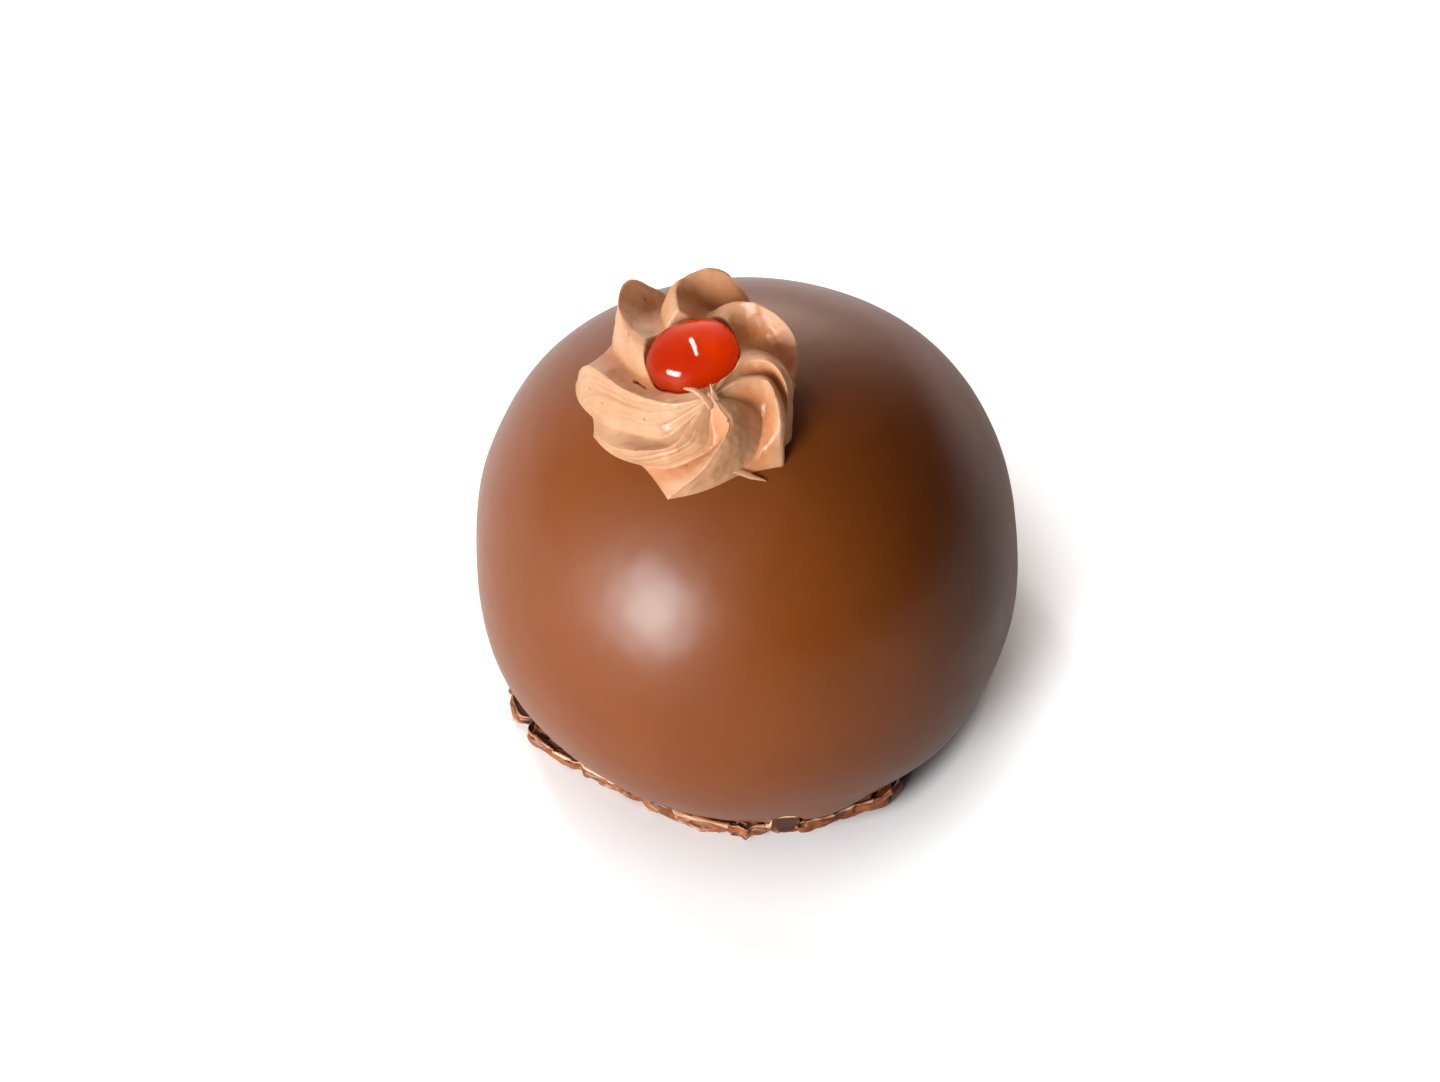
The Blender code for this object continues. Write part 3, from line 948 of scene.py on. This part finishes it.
def make_rosette(material):
    """The cream's ridges with their grooves, and its torn tongues. The surface's columns run clockwise,
    and the skin's counter-clockwise."""
    along = (np.linspace(0.0, 1.0, ROSETTE_RINGS + 1)[1:]) ** 1.05
    phases = np.linspace(0.0, 1.0, RIDGE_COLUMNS, endpoint=False)
    valleys = [ridge[-1] for ridge in RIDGES]
    surface = rosette_surface(along, phases)[:, ::-1]
    grooves, hollow = [], []
    for index, (share, _, _, streakiness, golden) in enumerate(valleys):
        grooves.append(streaks(along, phases, streakiness, GROOVE_SEED + index))
        # Painted shade in each valley's hollows, as strong as its golden share says.
        hollow.append([golden * hollow_shade(phase, share) for phase in phases])
    grooves = np.concatenate(grooves, axis=1)[:, ::-1]
    hollow = np.concatenate(hollow)[::-1] * np.clip((along - 0.08) / 0.25, 0.0, 1.0)[:, None]
    rows, columns = grooves.shape
    places = surface[..., :2]
    crack, dark, wet = rosette_marks(places)
    grid = above_glaze(surface.reshape(-1, 3)).reshape(rows, columns, 3)
    grid = press_seat(grid)
    normals = grid_normals(grid)
    fade = np.clip((1 - along) / 0.06, 0.0, 1.0) * np.clip(along / 0.08, 0.0, 1.0)
    soft = 0.10 * ripple(grid, 3.2 * MM, 7) + 0.035 * ripple(grid, 1.1 * MM, 8)
    proud = (grooves + soft - 0.6 * crack + 0.05 * wet) * fade[:, None]
    tip = PEAK_RISE * hump(np.linalg.norm(places - np.array(PEAK[:2]), axis=-1), 0.7)
    grid = grid + normals * (proud * MM)[..., None] + tip[..., None] * MM * rosette_axes()[2]
    rings = list(grid)
    for share in (0.9, 0.75, 0.5, 0.25):
        rings.append(above_glaze(surface[-1] * (share, share, 1.0)))
    peak, under = above_glaze([(PEAK[0], PEAK[1], PEAK[2] + PEAK_RISE), (0.0, 0.0, 0.0)])
    tongues = [tongue(*shape, TONGUE_SEED + index) for index, shape in enumerate(TONGUES)]
    piece = add_mesh("piped_rosette", *join(skin(rings, peak, under), *tongues))
    rest = np.zeros(len(piece.data.vertices) - 1 - rows * columns)
    # Marks for the material: specks and painted shade in the crack, wet spots, and painted shade in the
    # hollows.
    for name, values in (("dark", dark), ("wet", wet), ("hollow", hollow)):
        mark(piece, name, np.concatenate([[0.0], values.ravel(), rest]))
    finish_piece(piece, material, "rosette")


def make_jelly(material):
    turns = full_turn(JELLY_SEGMENTS)
    axes, middle = rosette_axes(), jelly_middle()
    rings = []
    for angle in np.linspace(0.0, math.pi, JELLY_RINGS + 1)[1:-1]:
        reach = jelly_outline(turns) * math.sin(angle) ** JELLY_FULLNESS
        rings.append(middle + circle(reach, JELLY_HALF_HEIGHT * math.cos(angle), turns) @ axes)
    up = axes[2] * JELLY_HALF_HEIGHT
    piece = add_mesh("jelly_piece", *skin(rings, middle + up, middle - up))
    finish_piece(piece, material, "jelly")


def add_table(name, material, height):
    side = TABLE_SIDE / 2
    corners = [(-side, -side, height), (side, -side, height), (side, side, height), (-side, side, height)]
    table = add_mesh(name, corners, [(0, 1, 2, 3)])
    table.data.materials.append(material)
    return table


def make_floor():
    """A plain white table top that shows. It glows with painted light, most on the shadow side and away
    from the foot, so that the ball's shadow stays short, and its colour darkens close to the foot as a
    painted shadow. A greyer one just under it, unseen, returns light to the ball; its paint is brighter
    behind, as painted light."""
    n = Nodes("white_table")
    tone = n.mix(n.noise(3.0, 2.0), (0.86, 0.86, 0.865), (0.88, 0.88, 0.88))
    away = n.add("ShaderNodeVectorMath", operation="LENGTH")
    n.link(n.places(), away.inputs[0])
    aside = n.add("ShaderNodeVectorMath", operation="DOT_PRODUCT")
    n.link(n.places(), aside.inputs[0])
    aside.inputs[1].default_value = SHADOW_WAY
    # Painted light: the table top glows more away from the foot and on the shadow side, washing out the
    # ball's cast shadow.
    nearer = n.math("MULTIPLY", aside.outputs["Value"], 0.10)
    reach = n.ramp(n.math("SUBTRACT", away.outputs["Value"], nearer), 27.0 * MM, 44.0 * MM)
    shadow_side = n.ramp(aside.outputs["Value"], -26.0 * MM, 34.0 * MM, 0.35, 0.68)
    painted_glow = n.math("MULTIPLY", reach, shadow_side)
    # Painted shadow: the table top's colour turns grey close to the foot, reaching less far in front.
    in_front = n.ramp(aside.outputs["Value"], -12.0 * MM, 8.0 * MM, 4.0 * MM, 0.0)
    shadow = n.math("ADD", away.outputs["Value"], in_front)
    tone = n.mix(n.ramp(shadow, 29.0 * MM, 32.5 * MM), (0.20, 0.19, 0.19), tone)
    n.set(Base_Color=tone, Roughness=0.7, Emission_Color=(1.0, 1.0, 1.0), Emission_Strength=painted_glow)
    shown = add_table("table_top", n.material, 0.0)
    shown.visible_diffuse = shown.visible_glossy = shown.visible_transmission = False
    shown.visible_shadow = False
    n = Nodes("pale_table")
    behind = n.add("ShaderNodeVectorMath", operation="DOT_PRODUCT")
    n.link(n.places(), behind.inputs[0])
    behind.inputs[1].default_value = BRIGHTER_WAY
    # Painted light: the unseen table's colour is brighter behind the ball, where more light falls, and
    # greyer in front.
    back = n.ramp(behind.outputs["Value"], -70.0 * MM, 70.0 * MM)
    tone = n.mix(back, (0.48, 0.48, 0.48), (0.95, 0.95, 0.95))
    n.set(Base_Color=tone, Roughness=0.7)
    returning = add_table("table_bounce", n.material, BOUNCE_HEIGHT)
    returning.visible_camera = False


def add_area(name, lit):
    """The soft light of that name, turned to the ball, for the pieces of a collection."""
    towards, run, length, width, radiance = LIGHTS[name]
    light = bpy.data.lights.new(name, "AREA")
    light.shape = "RECTANGLE"
    light.size, light.size_y = length, width
    light.energy = radiance * math.pi * length * width
    holder = bpy.data.objects.new(name, light)
    bpy.context.scene.collection.objects.link(holder)
    aim = Vector(towards).normalized()
    holder.location = Vector(BALL_MIDDLE) + aim * LIGHT_DISTANCE
    side = aim.cross(Vector(run)).normalized()
    holder.rotation_euler = Matrix((side.cross(aim), side, aim)).transposed().to_euler()
    holder.light_linking.receiver_collection = lit
    return holder


def light_sky():
    world = bpy.data.worlds.new("studio")
    bpy.context.scene.world = world
    world.use_nodes = True
    tree = world.node_tree
    ray = tree.nodes.new("ShaderNodeTexCoord").outputs["Generated"]

    def step(kind, operation, *values):
        node = tree.nodes.new(kind)
        node.operation = operation
        for socket, value in zip(node.inputs, values):
            if isinstance(value, bpy.types.NodeSocket):
                tree.links.new(value, socket)
            else:
                socket.default_value = value
        return node

    total = (0.0, 0.0, 0.0)
    for azimuth, elevation, brightness, tightness, tint in SKY:
        aim = direction(math.radians(azimuth), math.radians(elevation))
        near = step("ShaderNodeVectorMath", "DOT_PRODUCT", ray, aim).outputs["Value"]
        fall = step("ShaderNodeMath", "MULTIPLY_ADD", near, float(tightness), -float(tightness))
        patch = step("ShaderNodeMath", "EXPONENT", fall.outputs["Value"]).outputs["Value"]
        shown = step("ShaderNodeVectorMath", "SCALE", tuple(brightness * part for part in tint))
        tree.links.new(patch, shown.inputs["Scale"])
        total = step("ShaderNodeVectorMath", "ADD", shown.outputs["Vector"], total).outputs["Vector"]
    tree.links.new(total, tree.nodes["Background"].inputs["Color"])


def lit_pieces(name, chosen):
    """A collection of the meshes whose names are chosen, for the lights that light only these."""
    lit = bpy.data.collections.new(name)
    for piece in bpy.context.scene.objects:
        if piece.type == "MESH" and chosen(piece.name):
            lit.objects.link(piece)
    return lit


def light_scene():
    """A softbox low at the front left, brighter in its middle, and a narrow strip behind and above. The
    glossy jelly mirrors a smaller bar and a wider strip instead and has a soft light that it doesn't
    mirror. A weak warm light from the right fills the rosette's hollows."""
    dull = lit_pieces("lit_by_softbox", lambda name: name != "jelly_piece")
    glossy = lit_pieces("lit_by_bars", lambda name: name == "jelly_piece")
    for name in ("key_softbox", "key_middle", "back_strip"):
        add_area(name, dull)
    for name in ("jelly_bar", "jelly_strip"):
        mirrored = add_area(name, glossy)
        mirrored.visible_diffuse = mirrored.visible_transmission = False
    soft = add_area("jelly_soft", glossy)
    soft.visible_glossy = False
    creamy = lit_pieces("lit_by_fill", lambda name: name == "piped_rosette")
    fill = add_area("rosette_fill", creamy)
    fill.data.color = FILL_TINT
    light_sky()


def add_camera():
    right = Vector((1.0, 0.0, 0.0))
    back = Vector((0.0, -math.cos(CAMERA_ELEVATION), math.sin(CAMERA_ELEVATION)))
    up = back.cross(right)
    data = bpy.data.cameras.new("camera")
    data.lens, data.sensor_width = CAMERA_LENS, CAMERA_SENSOR
    data.clip_start, data.clip_end = 0.01, 20.0
    camera = bpy.data.objects.new("camera", data)
    bpy.context.scene.collection.objects.link(camera)
    place = Vector(BALL_MIDDLE) + back * CAMERA_DISTANCE - right * BALL_RIGHT + up * BALL_BELOW
    turned = Matrix((right, up, back)).transposed().to_4x4()
    camera.matrix_world = Matrix.Translation(place) @ turned
    bpy.context.scene.camera = camera


make_ball(glaze_material())
make_foot(broken_material())
make_rosette(cream_material())
make_jelly(jelly_material())
make_floor()
light_scene()
add_camera()
bpy.context.scene.view_settings.view_transform = "Standard"
